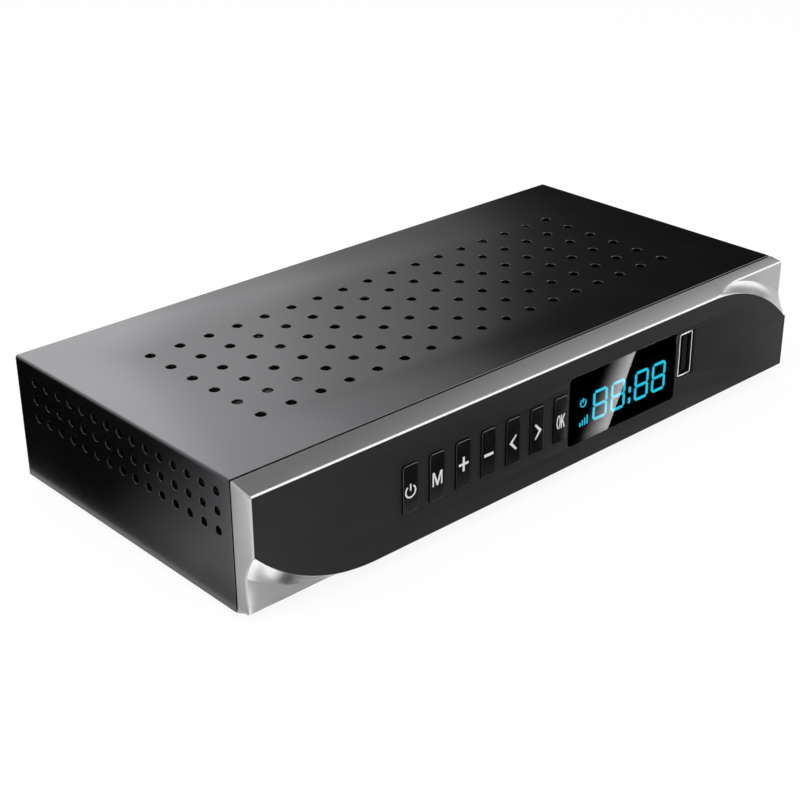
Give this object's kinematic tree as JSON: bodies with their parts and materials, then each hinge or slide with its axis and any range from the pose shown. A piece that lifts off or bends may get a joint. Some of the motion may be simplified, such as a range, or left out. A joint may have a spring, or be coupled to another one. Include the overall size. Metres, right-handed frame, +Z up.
{
  "type": "set-top television receiver",
  "caption": "Flat black vented steel box with a silver bezel whose opposite corners are scooped by arcs, push keys, a clock display, a front data socket and rear sockets.",
  "frame": {"origin": "under the middle of the whole receiver, on the plane that its feet stand on", "axes": "+X to the right of someone facing the front, +Y towards the back, +Z up"},
  "size_m": [0.2, 0.1082, 0.037],
  "materials": {
    "cover_black": "semi-gloss black powder paint on folded steel",
    "tray_steel": "bare zinc-plated steel",
    "rubber_black": "matt black rubber",
    "screw_black": "black oxide steel",
    "bezel_silver": "satin silver paint on black plastic",
    "fascia_black": "fine matt dark grey plastic",
    "lens_smoke": "polished smoked clear plastic",
    "module_black": "matt black",
    "lamp_cyan": "lit cyan",
    "receiver_dark": "dark infrared-pass plastic",
    "board_green": "green solder mask",
    "screw_zinc": "bright zinc",
    "switch_black": "moulded black",
    "socket_nickel": "nickel plate",
    "socket_black": "moulded black",
    "standoff_brass": "turned brass",
    "chip_black": "matt moulded epoxy",
    "pad_grey": "soft grey pad",
    "sink_aluminium": "plain extruded aluminium",
    "can_steel": "bright tin plate",
    "capacitor_black": "shrunk black sleeve",
    "ferrite_grey": "matt ferrite",
    "insulator_white": "moulded white",
    "contact_brass": "plated brass",
    "ribbon_grey": "grey ribbon",
    "header_white": "moulded cream nylon",
    "key_black": "satin black with white legends",
    "plunger_black": "moulded black",
    "jack_yellow": "yellow",
    "jack_white": "white",
    "jack_red": "red"
  },
  "bodies": {
    "receiver": {"top_cover": "cover_black", "base_tray": "tray_steel", "rubber_feet": "rubber_black", "case_screws": "screw_black", "bezel": "bezel_silver", "fascia": "fascia_black", "display_window": "lens_smoke", "display_module": "module_black", "display_digits": "lamp_cyan", "infrared_receiver": "receiver_dark", "front_board": "board_green", "front_board_screws": "screw_zinc", "tact_switches": "switch_black", "data_socket_shell": "socket_nickel", "data_socket_tongue": "socket_black", "main_board": "board_green", "board_standoffs": "standoff_brass", "board_screws": "screw_zinc", "processor": "chip_black", "thermal_pad": "pad_grey", "heat_sink": "sink_aluminium", "memory_chips": "chip_black", "crystal": "can_steel", "capacitors": "capacitor_black", "coils": "ferrite_grey", "tuner_can": "can_steel", "aerial_input_sleeve": "socket_nickel", "aerial_output_sleeve": "socket_nickel", "aerial_insulators": "insulator_white", "aerial_contacts": "contact_brass", "digital_video_shell": "socket_nickel", "digital_video_tongue": "socket_black", "jack_housing": "socket_black", "jack_sleeves": "socket_nickel", "power_jack": "socket_black", "power_pin": "socket_nickel", "board_ribbon": "ribbon_grey", "ribbon_headers": "header_white", "jack_insert_video": "jack_yellow", "jack_insert_left": "jack_white", "jack_insert_right": "jack_red"},
    "power_key": {"key_power": "key_black", "plunger_power": "plunger_black"},
    "menu_key": {"key_menu": "key_black", "plunger_menu": "plunger_black"},
    "plus_key": {"key_plus": "key_black", "plunger_plus": "plunger_black"},
    "minus_key": {"key_minus": "key_black", "plunger_minus": "plunger_black"},
    "left_key": {"key_left": "key_black", "plunger_left": "plunger_black"},
    "right_key": {"key_right": "key_black", "plunger_right": "plunger_black"},
    "ok_key": {"key_ok": "key_black", "plunger_ok": "plunger_black"}
  },
  "joints": [
    {"name": "power_key_press", "type": "slide", "parent": "receiver", "child": "power_key", "axis": [0, 1, 0], "range_m": [0, 0.0005], "stiffness_N_per_m": 1500, "springref_m": -0.0003},
    {"name": "menu_key_press", "type": "slide", "parent": "receiver", "child": "menu_key", "axis": [0, 1, 0], "range_m": [0, 0.0005], "stiffness_N_per_m": 1500, "springref_m": -0.0003},
    {"name": "plus_key_press", "type": "slide", "parent": "receiver", "child": "plus_key", "axis": [0, 1, 0], "range_m": [0, 0.0005], "stiffness_N_per_m": 1500, "springref_m": -0.0003},
    {"name": "minus_key_press", "type": "slide", "parent": "receiver", "child": "minus_key", "axis": [0, 1, 0], "range_m": [0, 0.0005], "stiffness_N_per_m": 1500, "springref_m": -0.0003},
    {"name": "left_key_press", "type": "slide", "parent": "receiver", "child": "left_key", "axis": [0, 1, 0], "range_m": [0, 0.0005], "stiffness_N_per_m": 1500, "springref_m": -0.0003},
    {"name": "right_key_press", "type": "slide", "parent": "receiver", "child": "right_key", "axis": [0, 1, 0], "range_m": [0, 0.0005], "stiffness_N_per_m": 1500, "springref_m": -0.0003},
    {"name": "ok_key_press", "type": "slide", "parent": "receiver", "child": "ok_key", "axis": [0, 1, 0], "range_m": [0, 0.0005], "stiffness_N_per_m": 1500, "springref_m": -0.0003}
  ]
}
